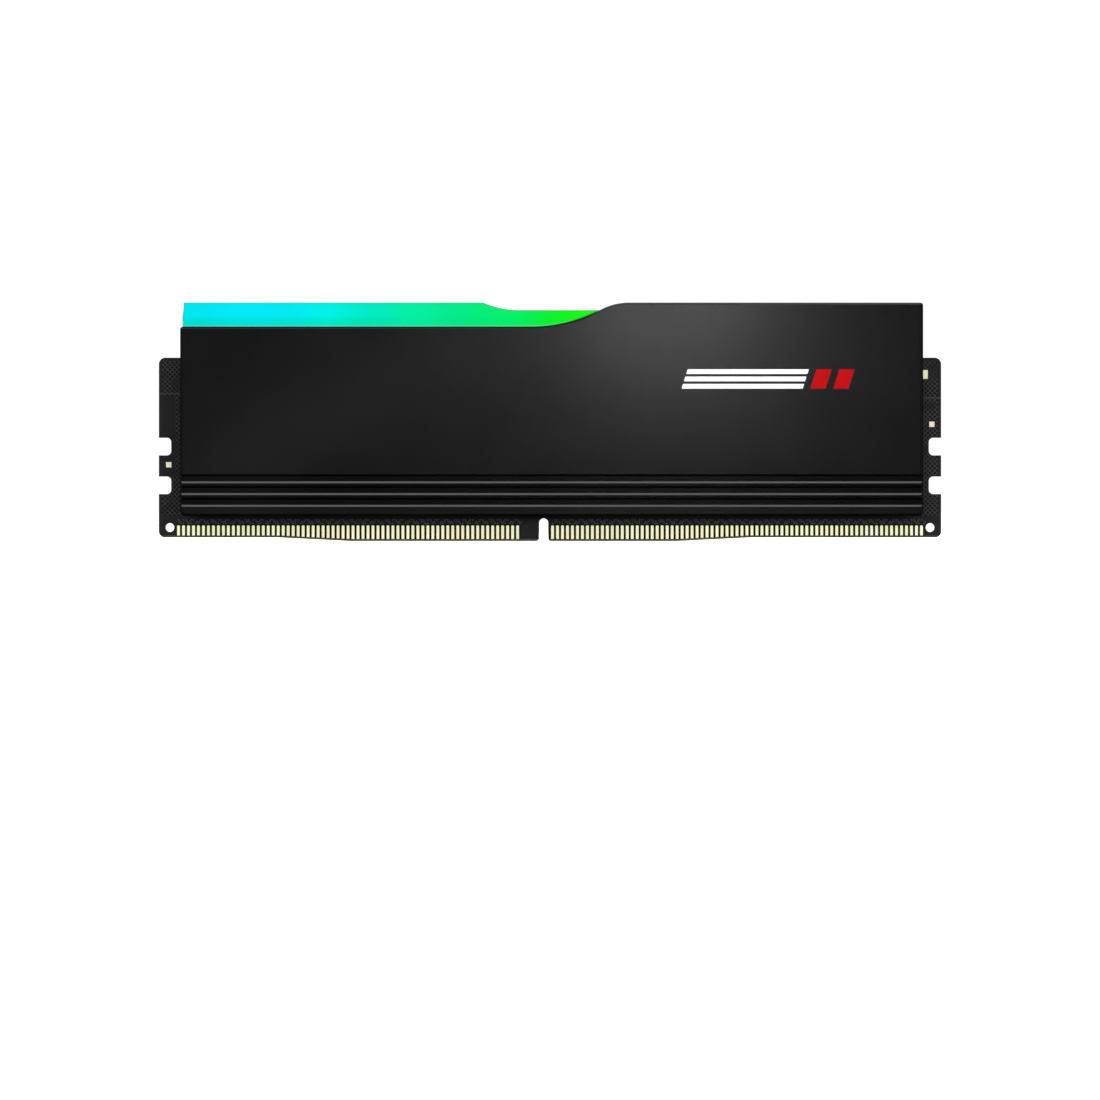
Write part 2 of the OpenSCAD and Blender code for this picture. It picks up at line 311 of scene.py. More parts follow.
def add_piece(name, bm, finishes, nodes=(), placing=None, bevel=0.0, edge_material=-1):
    """Makes a visible piece of bm, which rides on the module.

    It stands for the CAD nodes, and takes the finishes it is given.
    """
    if placing:
        bmesh.ops.transform(bm, matrix=placing, verts=bm.verts)
    bmesh.ops.recalc_face_normals(bm, faces=bm.faces)
    bmesh.ops.scale(bm, vec=(MM, MM, MM), verts=bm.verts)
    mesh = bpy.data.meshes.new(name)
    bm.to_mesh(mesh)
    bm.free()
    for finish in finishes:
        mesh.materials.append(finish.material)
    mesh.shade_smooth()
    mesh.set_sharp_from_angle(angle=SHARP_ANGLE)
    piece = bpy.data.objects.new(name, mesh)
    bpy.context.scene.collection.objects.link(piece)
    if bevel:
        rounding = piece.modifiers.new("edges", "BEVEL")
        rounding.width = bevel * MM
        rounding.segments = 2
        rounding.limit_method = "ANGLE"
        rounding.angle_limit = BEVEL_ANGLE
        rounding.harden_normals = True
        rounding.material = edge_material
        welding = piece.modifiers.new("seams", "WELD")
        welding.merge_threshold = SEAM * MM
    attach(piece, "root")
    if nodes:
        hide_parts(*nodes)


# -------- finishes


def linear(colour):
    """A screen colour, 0 to 255, as the linear RGBA that shaders take."""
    shares = (channel / 255 for channel in colour)
    return tuple(s / 12.92 if s <= 0.04045 else ((s + 0.055) / 1.055) ** 2.4 for s in shares) + (1.0,)


class Finish:
    """One material's node graph. Its coordinates are millimetres in the row frame."""

    def __init__(self, name, **values):
        self.material = bpy.data.materials.new(name)
        self.material.use_nodes = True
        self.tree = self.material.node_tree
        self.shader = self.tree.nodes["Principled BSDF"]
        for socket, value in values.items():
            self.shader.inputs[socket.replace("_", " ")].default_value = value
        coordinates = self.node("ShaderNodeTexCoord").outputs["Object"]
        scale = self.node("ShaderNodeVectorMath", operation="SCALE")
        self.tree.links.new(coordinates, scale.inputs[0])
        scale.inputs["Scale"].default_value = 1 / MM
        self.place = scale.outputs[0]
        split = self.node("ShaderNodeSeparateXYZ")
        self.tree.links.new(self.place, split.inputs[0])
        self.x, self.y, self.z = split.outputs

    def node(self, kind, **settings):
        made = self.tree.nodes.new(kind)
        for key, value in settings.items():
            setattr(made, key, value)
        return made

    def feed(self, socket, value):
        if isinstance(value, bpy.types.NodeSocket):
            self.tree.links.new(value, socket)
        else:
            socket.default_value = value

    def set(self, socket, value):
        self.feed(self.shader.inputs[socket], value)

    def math(self, operation, *values):
        made = self.node("ShaderNodeMath", operation=operation)
        for socket, value in zip(made.inputs, values):
            self.feed(socket, value)
        return made.outputs[0]

    def band(self, value, low, high, to_low=0.0, to_high=1.0):
        """value from low to high, as a smooth step from to_low to to_high."""
        made = self.node("ShaderNodeMapRange", interpolation_type="SMOOTHSTEP")
        for socket, given in zip(made.inputs, (value, low, high, to_low, to_high)):
            self.feed(socket, given)
        return made.outputs[0]

    def noise(self, size, detail=2.0, stretch=(1, 1, 1)):
        """Noise with features of about size, drawn out along the axes by stretch."""
        squeeze = self.node("ShaderNodeVectorMath", operation="MULTIPLY")
        self.feed(squeeze.inputs[0], self.place)
        squeeze.inputs[1].default_value = [1 / s for s in stretch]
        made = self.node("ShaderNodeTexNoise")
        self.feed(made.inputs["Vector"], squeeze.outputs[0])
        made.inputs["Scale"].default_value = 1 / size
        made.inputs["Detail"].default_value = detail
        return made.outputs[0]

    def mix(self, share, first, second, blend="MIX"):
        made = self.node("ShaderNodeMix", data_type="RGBA", blend_type=blend)
        for socket, value in zip([made.inputs[0], made.inputs[6], made.inputs[7]], (share, first, second)):
            self.feed(socket, value)
        return made.outputs[2]

    def ramp(self, share, stops):
        made = self.node("ShaderNodeValToRGB")
        elements = made.color_ramp.elements
        while len(elements) < len(stops):
            elements.new(0.5)
        for element, (place, colour) in zip(elements, stops):
            element.position = place
            element.color = linear(colour)
        self.feed(made.inputs[0], share)
        return made.outputs[0]

    def bump(self, height, depth):
        """A normal for a height of 0 to 1 that stands for depth."""
        made = self.node("ShaderNodeBump")
        made.inputs["Distance"].default_value = depth * MM
        self.feed(made.inputs["Height"], height)
        return made.outputs[0]


def grained(name, dark, light, grain, patch, roughness, depth, stretch=(1, 1, 1), **values):
    """A finish with fine grain over broad patches, in colour, roughness and relief."""
    finish = Finish(name, **values)
    fine = finish.noise(grain, 3.0, stretch)
    broad = finish.noise(patch)
    tone = finish.math("ADD", finish.math("MULTIPLY", fine, 0.5), finish.math("MULTIPLY", broad, 0.5))
    finish.set("Base Color", finish.mix(finish.band(tone, 0.35, 0.65), linear(dark), linear(light)))
    finish.set("Roughness", finish.band(broad, 0.3, 0.7, *roughness))
    finish.set("Normal", finish.bump(fine, depth))
    return finish


def solder_mask_finish():
    """Black solder mask over a hatched copper plane, which has a plain area at the left end.

    Behind the contacts the mask is left off, and the bare laminate shows.
    """
    finish = Finish("solder_mask", Specular_IOR_Level=0.15)
    grain = finish.noise(0.12, 3.0)
    patches = finish.noise(2.4)
    lines = []
    for sign in (1, -1):
        along = finish.math("ADD", finish.x, finish.math("MULTIPLY", finish.z, sign))
        wave = finish.math("PINGPONG", along, HATCH_PITCH / 2)
        lines.append(finish.band(wave, *HATCH_LINE, 1.0, 0.0))
    copper = finish.math("MAXIMUM", *lines)
    from_side = finish.math("SUBTRACT", BOARD_HALF_L, finish.math("ABSOLUTE", finish.x))
    from_top = finish.math("SUBTRACT", BOARD_TOP_Z, finish.z)
    from_edge = finish.math("MINIMUM", from_side, from_top)
    plane = finish.math(
        "MULTIPLY",
        finish.band(from_edge, HATCH_MARGIN - 0.08, HATCH_MARGIN + 0.08),
        finish.band(patches, 0.3, 0.5, 0.35, 1.0),
    )
    plane = finish.math("MULTIPLY", plane, finish.band(finish.z, *HATCH_FOOT_Z))
    low_z, high_z = PLAIN_AREA_Z
    fade = PLAIN_AREA_FADE
    above = finish.band(finish.z, high_z - fade, high_z + fade)
    below = finish.band(finish.z, low_z - fade, low_z + fade, 1.0, 0.0)
    beside = finish.band(finish.x, PLAIN_AREA_X - 2 * fade, PLAIN_AREA_X + 2 * fade)
    hatched = finish.math("MAXIMUM", beside, finish.math("MAXIMUM", above, below))
    plane = finish.math("MULTIPLY", plane, hatched)
    copper = finish.math("MULTIPLY", copper, plane)
    for sign, z in ((-1, TRACE_Z["left"]), (1, TRACE_Z["right"])):
        side = finish.math("GREATER_THAN", finish.math("MULTIPLY", finish.x, sign), 0.0)
        off = finish.math("ABSOLUTE", finish.math("SUBTRACT", finish.z, z))
        trace = finish.math("MULTIPLY", finish.band(off, TRACE_W / 2, TRACE_W, 1.0, 0.0), side)
        copper = finish.math("MAXIMUM", copper, trace)
    mask = finish.mix(finish.band(grain, 0.3, 0.7), linear((28, 28, 29)), linear((34, 33, 35)))
    mask = finish.mix(plane, mask, linear((10, 10, 11)))
    mask = finish.mix(copper, mask, linear((58, 56, 58)))
    bare = finish.mix(finish.band(grain, 0.3, 0.7), linear((10, 10, 2)), linear((17, 16, 4)))
    opening_z = CONTACT_TOP_Z + MASK_GAP_Z
    opening = finish.band(finish.z, opening_z - 0.06, opening_z + 0.02, 1.0, 0.0)
    from_group = [contact_group(low, high, finish) for low, high in CONTACT_GROUPS]
    opening = finish.math("MULTIPLY", opening, finish.math("MAXIMUM", *from_group))
    finish.set("Base Color", finish.mix(opening, mask, bare))
    finish.set("Roughness", finish.band(patches, 0.3, 0.7, 0.42, 0.52))
    relief = finish.math("ADD", finish.math("MULTIPLY", copper, 0.8), finish.math("MULTIPLY", grain, 0.2))
    finish.set("Normal", finish.bump(relief, 0.02))
    return finish


def contact_group(low, high, finish):
    """1 between the ends of one group of contacts, and 0 outside."""
    after = finish.band(finish.x, low - 0.25, low - 0.15)
    before = finish.band(finish.x, high + 0.15, high + 0.25, 1.0, 0.0)
    return finish.math("MULTIPLY", after, before)


def laminate_finish():
    """The board's cut edge: glass cloth in resin, in plies along its thickness."""
    finish = Finish("laminate", Specular_IOR_Level=0.3, Roughness=0.7)
    plies = finish.noise(0.12, 2.0, (40, 1, 40))
    fibres = finish.noise(0.09, 3.0)
    tone = finish.math("ADD", finish.math("MULTIPLY", plies, 0.6), finish.math("MULTIPLY", fibres, 0.4))
    dark, light = linear((70, 66, 44)), linear((112, 106, 78))
    finish.set("Base Color", finish.mix(finish.band(tone, 0.35, 0.65), dark, light))
    finish.set("Normal", finish.bump(fibres, 0.01))
    return finish


def gold_finish():
    """Pale plated gold, with a tone of its own on each contact and faint marks along it."""
    finish = Finish("gold_plating", Metallic=0.15, Specular_IOR_Level=0.6)
    island = finish.node("ShaderNodeNewGeometry").outputs["Random Per Island"]
    scuffs = finish.noise(0.07, 3.0, (1, 1, 5))
    broad = finish.noise(1.5)
    tone = finish.math("ADD", finish.math("MULTIPLY", island, 0.5), finish.math("MULTIPLY", scuffs, 0.5))
    dark, light = linear((246, 241, 200)), linear((252, 249, 214))
    finish.set("Base Color", finish.mix(finish.band(tone, 0.2, 0.8), dark, light))
    finish.set("Roughness", finish.band(broad, 0.3, 0.7, 0.34, 0.46))
    finish.set("Normal", finish.bump(scuffs, 0.004))
    return finish


def spreader_finish(name, dark, light, roughness, shine=0.5):
    """Matt black coating: a fine blasted grain, and slow changes of tone."""
    return grained(name, dark, light, 0.09, 9.0, roughness, 0.0012, Specular_IOR_Level=shine)


def diffuser_finish(name, edge_light_share, strength=0.97):
    """The lit diffuser: colours along the bar, a darker band below, which is painted shade, and a faint swell
    at each LED.
    """
    finish = Finish(name, Specular_IOR_Level=0.05, Roughness=0.38)
    low, high = box_of("light_bar")
    along = finish.math("DIVIDE", finish.math("SUBTRACT", finish.x, low.x), high.x - low.x)
    cloud = finish.noise(6.0)
    wander = finish.math("MULTIPLY", finish.math("SUBTRACT", cloud, 0.5), 0.02)
    colour = finish.ramp(finish.math("ADD", along, wander), BAR_COLOURS)
    # Painted shade: a darker, greener band low on the bar.
    lower = finish.band(finish.z, *BAR_BAND_Z, 1.0, 0.0)
    shade_tint = finish.mix(finish.band(finish.x, *BAR_BAND_FADE_X), BAR_SHADE_TINT, BAR_SHADE_TINT_RIGHT)
    colour = finish.mix(lower, colour, finish.mix(1.0, colour, shade_tint, "MULTIPLY"))
    from_led = finish.math("ADD", finish.x, LED_PITCH / 2)
    swell = finish.math("COSINE", finish.math("MULTIPLY", from_led, math.tau / LED_PITCH))
    # Painted edge light: a painted highlight low on the bevels, painted shade higher up, mixed in by the
    # given share.
    edge = finish.mix(finish.band(finish.z, *BAR_EDGE_Z), linear(BAR_EDGE_LOW_HIGHLIGHT), linear(BAR_EDGE_HIGH_SHADE))
    colour = finish.mix(edge_light_share, colour, edge)
    finish.set("Base Color", finish.mix(1.0, colour, (0.05, 0.05, 0.05, 1.0), "MULTIPLY"))
    finish.set("Emission Color", colour)
    finish.set("Emission Strength", finish.math("MULTIPLY_ADD", swell, 0.02, strength))
    finish.set("Normal", finish.bump(finish.noise(0.15, 3.0), 0.002))
    return finish


# -------- builders


def build_board():
    bm = cad_mesh("pcb")
    bmesh.ops.dissolve_limit(bm, angle_limit=math.radians(0.3), verts=bm.verts, edges=bm.edges)
    for face in bm.faces:
        face.material_index = 0 if abs(face.normal.y) > 0.98 else 1
    return bm


def build_vias():
    """Vias in staggered rows above the contacts on both faces, each a low bump under the solder mask.

    Three places in seven are empty, spread evenly.
    """
    bm = bmesh.new()
    levels = ((-VIA_SINK, VIA_R), (VIA_T * 0.6, VIA_R * 0.9), (VIA_T, VIA_R * 0.5))
    for i, (low, high) in enumerate(solids_of("contacts_front")):
        for row, (z, shift) in enumerate(VIA_ROWS):
            for step in (0, 1):
                if (3 * i + 5 * row + 4 * step) % 7 < 3:
                    continue
                spot = ((low.x + high.x) / 2 + (step + shift) * VIA_PITCH, z)
                for side in (-1, 1):
                    rings = [
                        [(u, side * (-BOARD_FACE_Y + height), v) for u, v in arc(spot, radius, 0, 300, 5)]
                        for height, radius in levels
                    ]
                    loft(bm, rings, [0, 0])
    return bm


def build_contacts(node):
    """Plated pads with round upper ends, each standing on the card edge below it."""
    bm = bmesh.new()
    for low, high in solids_of(node):
        x, z = (low.x + high.x) / 2, (low.z + high.z) / 2
        width, height, radius = high.x - low.x, high.z - low.z, CONTACT_ROUND - CONTACT_EDGE
        outer = rounded_rect(width, height, CONTACT_ROUND, CONTACT_FOOT_R, 4)
        width, height = width - 2 * CONTACT_EDGE, height - 2 * CONTACT_EDGE
        inner = rounded_rect(width, height, radius, CONTACT_FOOT_R / 2, 4)
        base, top = (high.y, low.y) if low.y < 0 else (low.y, high.y)
        shoulder = base + (top - base) * CONTACT_SHOULDER
        levels = ((outer, base), (outer, shoulder), (inner, top))
        rings = [[(x + u, y, z + v) for u, v in ring] for ring, y in levels]
        # The rim takes the darker gold copy, which is painted shade; the top face takes the plain gold.
        loft(bm, rings, [1, 1])
        bm.faces.ensure_lookup_table()
        bm.faces[-1].material_index = 0
    return bm


def build_test_pads():
    """Each pad is a thin base with four raised quarters, or two on the tall pad."""
    bm = bmesh.new()
    for low, high in solids_of("test_pads"):
        thick = high.y - low.y
        outwards((low, high), ((0, 0), (thick * 0.6, 0.0)), 0.06, [0], bm)
        rows = 2 if high.z - low.z < 1.2 else 3
        step_x, step_z = (high.x - low.x) / 2, (high.z - low.z) / rows
        for i in range(2):
            for j in range(rows):
                corner = Vector((low.x + i * step_x, low.y, low.z + j * step_z))
                part = (corner, corner + Vector((step_x, thick, step_z)))
                outwards(part, ((thick * 0.3, PAD_SPLIT / 2), (thick, PAD_SPLIT / 2 + 0.01)), 0.06, [0], bm)
    return bm


def build_memory_chip(node, back):
    """A ball-grid package: solder balls, substrate and moulded body with a round pin mark."""
    bm = bmesh.new()
    low, high = box_of(node, back)
    middle, total = (low + high) / 2, high.y - low.y
    for column in BALL_COLUMNS:
        for row in range(BALL_ROWS):
            spot = (middle.x + column * BALL_PITCH, middle.z + (row - (BALL_ROWS - 1) / 2) * BALL_PITCH)
            rings = []
            for share, width in ((0, 0.7), (0.25, 0.93), (0.5, 1.0), (0.75, 0.93), (1, 0.7)):
                y = high.y - share * BALL_H
                rings.append([(u, y, v) for u, v in arc(spot, BALL_R * width, 0, 315, 7)])
            loft(bm, rings, [2, 2, 2, 2])
    top = BALL_H + SUBSTRATE_H
    outwards((low, high), ((BALL_H, 0.02), (BALL_H + 0.02, 0.0), (top, 0.0)), 0.05, [1, 1], bm, 2)
    levels = ((top, 0.0), (total - 0.09, 0.01), (total - 0.025, 0.035), (total, 0.1))
    loops = outwards((low, high), levels, 0.12, [0, 0, 0], bm, 3)
    bm.faces.remove(bm.faces.get(loops[-1]))
    mark = (low.x + PIN_MARK_IN, high.z - PIN_MARK_IN)
    dimple(bm, loops[-1], mark, PIN_MARK_R, PIN_MARK_DEPTH, 0)
    return bm


def build_leadless_chip(node, leads, back=False):
    """A moulded package with its leads flush along the lower edges, and a round pin mark."""
    bm = bmesh.new()
    low, high = box_of(node, back)
    total = high.y - low.y
    levels = ((0.03, 0.02), (total - 0.08, 0.035), (total - 0.02, 0.055), (total, 0.11))
    loops = outwards((low, high), levels, 0.1, [0, 0, 0], bm, 2)
    bm.faces.remove(bm.faces.get(loops[-1]))
    size = high - low
    mark = (low.x + size.x * 0.16, high.z - size.z * 0.16)
    dimple(bm, loops[-1], mark, min(size.x, size.z) * 0.06, 0.03, 0)
    for count, length, across in ((leads[0], size.x, 0), (leads[1], size.z, 1)):
        pitch = length / (count + 1)
        for side in (0, 1):
            for i in range(count):
                middle = pitch * (i + 1)
                a, b = middle - pitch * LEAD_SHARE, middle + pitch * LEAD_SHARE
                edge = (size.z if across == 0 else size.x) * side
                near, far = (edge, edge + LEAD_L) if side == 0 else (edge - LEAD_L, edge)
                if across == 0:
                    corners = (low + Vector((a, 0, near)), low + Vector((b, 0, far)))
                else:
                    corners = (low + Vector((near, 0, a)), low + Vector((far, 0, b)))
                lead = (
                    Vector((corners[0].x, high.y - LEAD_H, corners[0].z)),
                    Vector((corners[1].x, high.y, corners[1].z)),
                )
                outwards(lead, ((0, 0), (0.2, 0), (0.23, 0.02)), 0.03, [1, 1], bm, 1)
    return bm


def build_two_ended(boxes, end_share, step):
    """Chip capacitors or inductors: a body between two tinned ends that stand out from it by step."""
    bm = bmesh.new()
    for low, high in boxes:
        length, corner = high.x - low.x, min(high.y - low.y, high.z - low.z) * 0.14
        end, edge = length * end_share, corner * 0.6
        levels = (
            (0, edge), (edge, 0), (end, 0), (end + step, step),
            (length - end - step, step), (length - end, 0), (length - edge, 0), (length, edge),
        )
        lengthwise((low, high), levels, corner, [1, 1, 1, 0, 1, 1, 1], bm)
    return bm


def build_resistor_arrays():
    """Four resistors on one chip: a coated ceramic body with four tinned ends along each long side."""
    bm = bmesh.new()
    for low, high in solids_of("resistor_arrays"):
        size = high - low
        body = (low + Vector((0, 0, ARRAY_STEP)), high - Vector((0, 0, ARRAY_STEP)))
        outwards(body, ((0.03, 0.0), (size.y - 0.06, 0.0), (size.y - 0.03, 0.04)), 0.04, [1, 0], bm, 1)
        pitch = size.x / 4
        for i in range(4):
            for z in (low.z, high.z - ARRAY_END):
                corner = Vector((low.x + pitch * (i + 0.22), low.y, z))
                end = (corner, corner + Vector((pitch * 0.56, size.y, ARRAY_END)))
                outwards(end, ((0, 0), (size.y - 0.03, 0), (size.y, 0.03)), 0.03, [2, 2], bm, 1)
    return bm


def build_led(node):
    """A white case, open at the top, with the lit resin set a little into it."""
    low, high = box_of(node)
    bm = bmesh.new()
    bmesh.ops.create_cube(bm, size=1)
    middle, size = (low + high) / 2, high - low
    for vert in bm.verts:
        vert.co = middle + Vector(a * b for a, b in zip(vert.co, size))
    top = max(bm.faces, key=lambda face: face.calc_center_median().z)
    bmesh.ops.inset_individual(bm, faces=[top], thickness=LED_WALL)
    well = bmesh.ops.inset_individual(bm, faces=[top], thickness=LED_WELL_SLOPE, depth=-LED_WELL_DEPTH)
    top.material_index = 1
    for face in well["faces"]:
        face.material_index = 0
    for side in (-1, 1):
        x = middle.x + side * (size.x / 2 - 0.35)
        foot_low = Vector((x - LED_FOOT, high.y - LED_FOOT, low.z - 0.02))
        foot = (foot_low, Vector((x + LED_FOOT, high.y, low.z + LED_FOOT)))
        outwards(foot, ((0, 0), (0.27, 0), (0.3, 0.03)), 0.03, [2, 2], bm, 1)
    return bm


def build_thermal_pad(node, back, corner):
    """A soft pad, pressed out a little along its middle, with slightly uneven cut sides."""
    bm = bmesh.new()
    low, high = box_of(node, back)
    thick = high.y - low.y
    outline = []
    corners = rounded_rect(high.x - low.x, high.z - low.z, corner, steps=4)
    for a, b in zip(corners, corners[1:] + corners[:1]):
        pieces = max(1, round(math.dist(a, b) / SOFT_PAD_STEP))
        run, rise = b[0] - a[0], b[1] - a[1]
        outline += [(a[0] + run * i / pieces, a[1] + rise * i / pieces) for i in range(pieces)]
    middle = (low + high) / 2
    half = (high - low) / 2
    rings = []
    for height, inset in ((0, 0.16), (0.18, 0.05), (0.5, 0.0), (0.82, 0.05), (1, 0.16)):
        ring = []
        for u, v in outline:
            uneven = SOFT_PAD_UNEVEN * (2 + math.sin(1.3 * u + 2.1 * v) + math.sin(3.7 * u - 1.1 * v))
            shrink_u, shrink_v = 1 - (inset + uneven) / half.x, 1 - (inset + uneven) / half.z
            ring.append((middle.x + u * shrink_u, high.y - height * thick, middle.z + v * shrink_v))
        rings.append(ring)
    loft(bm, rings, [0] * 4)
    return bm


def build_tape(node, back):
    bm = bmesh.new()
    low, high = box_of(node, back)
    outwards((low, high), ((0, 0.02), (0.012, 0), (0.038, 0), (0.05, 0.02)), 0.6, [0, 0, 0], bm, 5)
    return bm


def spreader_outline(inset, rows):
    """The panel's outline, moved in by inset, anticlockwise from its lower left corner.

    It has a point on both sides at each row's height, further out by the row's depth. Also returns the
    indices of those points, on the right and on the left, from the bottom up.
    """
    low, high = box_of("heat_spreader_front")
    shelf_z = shelf_height()
    rise_x = (low.x + high.x) / 2 + RISE_X
    rise, both_r = high.z - shelf_z, RISE_FOOT_R + RISE_CROWN_R
    rise_l = math.sqrt(2 * both_r * rise - rise * rise)
    turn = math.degrees(math.asin(rise_l / both_r))
    points = arc((low.x + FOOT_R, low.z + FOOT_R), FOOT_R - inset, 180, 270, 6)
    points += arc((high.x - FOOT_R, low.z + FOOT_R), FOOT_R - inset, 270, 360, 6)
    right = list(range(len(points), len(points) + len(rows)))
    points += [(high.x - inset + depth, z) for z, depth in rows]
    points += arc((high.x - TOP_R, high.z - TOP_R), TOP_R - inset, 0, 90, 4)
    points += arc((rise_x + rise_l, high.z - RISE_CROWN_R), RISE_CROWN_R - inset, 90, 90 + turn, 20)
    points += arc((rise_x, shelf_z + RISE_FOOT_R), RISE_FOOT_R + inset, turn - 90, -90, 32)[1:]
    points += arc((low.x + TOP_R, shelf_z - TOP_R), TOP_R - inset, 90, 180, 4)
    left = list(range(len(points), len(points) + len(rows)))[::-1]
    points += [(low.x + inset - depth, z) for z, depth in reversed(rows)]
    return points, right, left


def shelf_height():
    """The height of the panel's low upper edge, read off the CAD solid near its left end."""
    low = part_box("heat_spreader_front")[0]
    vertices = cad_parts["heat_spreader_front"].data.vertices
    return max(v.co.z for v in vertices if v.co.x < low.x + 5 * MM) / MM


def build_spreader():
    """A pressed panel, chamfered all round. Its grooves run out through the chamfer at both ends."""
    bm = bmesh.new()
    low, high = box_of("heat_spreader_front")
    face_y = low.y + PRINT_T
    mouth, floor = GROOVE_MOUTH / 2, GROOVE_FLOOR / 2
    profile = ((-mouth, 0), (-floor, GROOVE_DEPTH), (floor, GROOVE_DEPTH), (mouth, 0))
    rows = [(z + offset, depth) for z in GROOVE_Z for offset, depth in profile]
    flat_rows = [(z, 0) for z, _ in rows]
    inner_points, right, left = spreader_outline(EDGE_CHAMFER, rows)
    outer_points = spreader_outline(0, flat_rows)[0]
    depth_at = {i: depth for side in (right, left) for i, (_, depth) in zip(side, rows)}
    rings = [[bm.verts.new((x, face_y + depth_at.get(i, 0), z)) for i, (x, z) in enumerate(inner_points)]]
    for y, points in (
        (face_y + EDGE_CHAMFER, outer_points),
        (high.y - BACK_CHAMFER, outer_points),
        (high.y, spreader_outline(BACK_CHAMFER, flat_rows)[0]),
    ):
        rings.append([bm.verts.new((x, y, z)) for x, z in points])
    for near, far in zip(rings, rings[1:]):
        for i in range(len(near)):
            j = (i + 1) % len(near)
            bm.faces.new((near[i], far[i], far[j], near[j]))
    inner = rings[0]
    bm.faces.new(rings[-1])
    for k in range(len(rows) - 1):
        strip = bm.faces.new((inner[left[k]], inner[right[k]], inner[right[k + 1]], inner[left[k + 1]]))
        # The grooved band takes the darker copy of the coating, which is painted shade.
        strip.material_index = 2
    bm.faces.new([inner[i] for i in range(right[0] + 1)] + [inner[left[0]]])
    bm.faces.new(inner[right[-1]:left[-1] + 1])
    return bm


def build_print():
    """A plain printed pattern: three long stripes with slanted ends, and two slanted bars after them."""
    bm = bmesh.new()
    face_y = box_of("heat_spreader_front")[0].y + PRINT_T
    for x, z, width, height, ink in PRINT_BARS:
        lean = PRINT_SLANT * height
        shift = PRINT_SLANT * (z - PRINT_BARS[0][1])
        corners = [(x, z), (x + width, z), (x + width + lean, z + height), (x + lean, z + height)]
        rings = [[(u + shift, y, v) for u, v in corners] for y in (face_y + PRINT_SINK, face_y - PRINT_T)]
        loft(bm, rings, [ink])
    return bm


def bar_outline(half, shelf_z, low_top_z, high_top_z):
    """The bar's outline seen from the front, about its middle: its lower edge, then its upper one."""
    turn = math.degrees(math.acos(1 - BAR_DROP / BAR_DROP_R))
    tip_turn = math.degrees(math.acos(1 - (low_top_z - shelf_z) / RISE_FOOT_R))
    upper = arc((BAR_DROP_X, low_top_z + BAR_DROP_R), BAR_DROP_R, -90, -90 - turn, 10)
    upper += [(BAR_SLOPE - half, high_top_z), (BAR_SLOPE - half, BAR_SLOPE_Z[1]), (-half, BAR_SLOPE_Z[0])]
    lower = [(-half, shelf_z)] + arc((RISE_X, shelf_z + RISE_FOOT_R), RISE_FOOT_R, -90, tip_turn - 90, 12)
    return lower, upper


def add_underside(bm, grid, foot_z):
    """The bar's underside over a grid of vertices, with two rows of feet that reach down to foot_z."""
    for i in range(len(grid) - 1):
        for j in range(len(grid[0]) - 1):
            cell = [grid[i][j], grid[i][j + 1], grid[i + 1][j + 1], grid[i + 1][j]]
            if i in (1, 3) and j % 2 == 1:
                tip = [bm.verts.new((vert.co.x, vert.co.y, foot_z)) for vert in cell]
                for k in range(4):
                    bm.faces.new((cell[k], cell[(k + 1) % 4], tip[(k + 1) % 4], tip[k]))
                cell = tip
            bm.faces.new(cell)


def lean_lips(bm):
    """Leans the lips' outer faces in by BAR_SLOPE between the two heights of BAR_SLOPE_Z."""
    for z in BAR_SLOPE_Z:
        everything = bm.verts[:] + bm.edges[:] + bm.faces[:]
        bmesh.ops.bisect_plane(bm, geom=everything, dist=0.0001, plane_co=(0, 0, z), plane_no=(0, 0, 1))
    for vert in bm.verts:
        if abs(vert.co.y) > BAR_CORE_Y + 0.1:
            share = (vert.co.z - BAR_SLOPE_Z[0]) / (BAR_SLOPE_Z[1] - BAR_SLOPE_Z[0])
            vert.co.y -= math.copysign(BAR_SLOPE * min(1, max(0, share)), vert.co.y)


